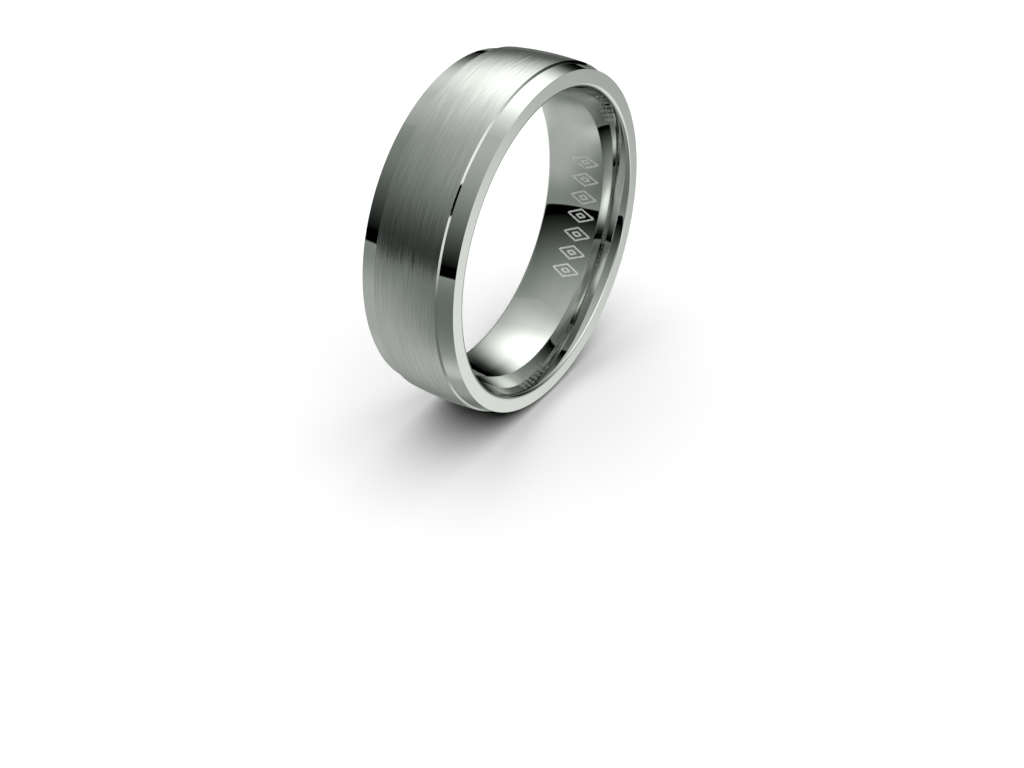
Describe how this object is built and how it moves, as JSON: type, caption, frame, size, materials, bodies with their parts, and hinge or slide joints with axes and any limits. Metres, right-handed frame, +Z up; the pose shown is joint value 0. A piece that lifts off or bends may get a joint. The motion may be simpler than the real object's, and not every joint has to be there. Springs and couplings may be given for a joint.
{
  "type": "wedding band",
  "caption": "Comfort-fit wedding band with a brushed domed centre between lower polished sloping edges.",
  "frame": {"origin": "middle of the finger bore, on its axis", "axes": "+Y along the bore's axis, towards the back edge; +Z up, with the ring standing on its rim"},
  "size_m": [0.0212, 0.006, 0.0212],
  "materials": {
    "polished_bore": "mirror polished",
    "brushed_metal": "brushed round the ring",
    "polished_edge": "mirror polished"
  },
  "bodies": {
    "root": {"comfort_fit_liner": "polished_bore", "brushed_centre_band": "brushed_metal", "front_edge_rail": "polished_edge", "back_edge_rail": "polished_edge"}
  },
  "joints": []
}
